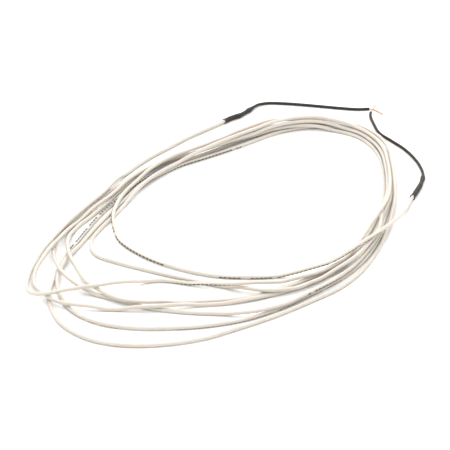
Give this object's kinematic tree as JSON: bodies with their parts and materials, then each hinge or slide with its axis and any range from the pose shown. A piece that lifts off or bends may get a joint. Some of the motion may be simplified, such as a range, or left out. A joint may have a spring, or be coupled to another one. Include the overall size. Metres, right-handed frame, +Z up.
{
  "type": "heater wire",
  "caption": "Long white silicone heater wire in a loose oval coil, with a black lead spliced to each end and bare copper tips.",
  "frame": {"origin": "middle of the coil's outline, on the surface it lies on", "axes": "+Z up, +Y towards the side of the coil where the two black leads meet, +X to the right of someone looking along +Y"},
  "size_m": [0.3146, 0.3394, 0.0158],
  "materials": {
    "silicone_white": "satin",
    "sleeve_black": "matte",
    "lead_black": "satin",
    "copper_bare": "bright"
  },
  "bodies": {
    "root": {"heating_cable": "silicone_white", "splice_sleeve_a": "sleeve_black", "splice_sleeve_b": "sleeve_black", "lead_insulation_a": "lead_black", "lead_insulation_b": "lead_black", "conductor_a": "copper_bare", "conductor_b": "copper_bare"}
  },
  "joints": []
}
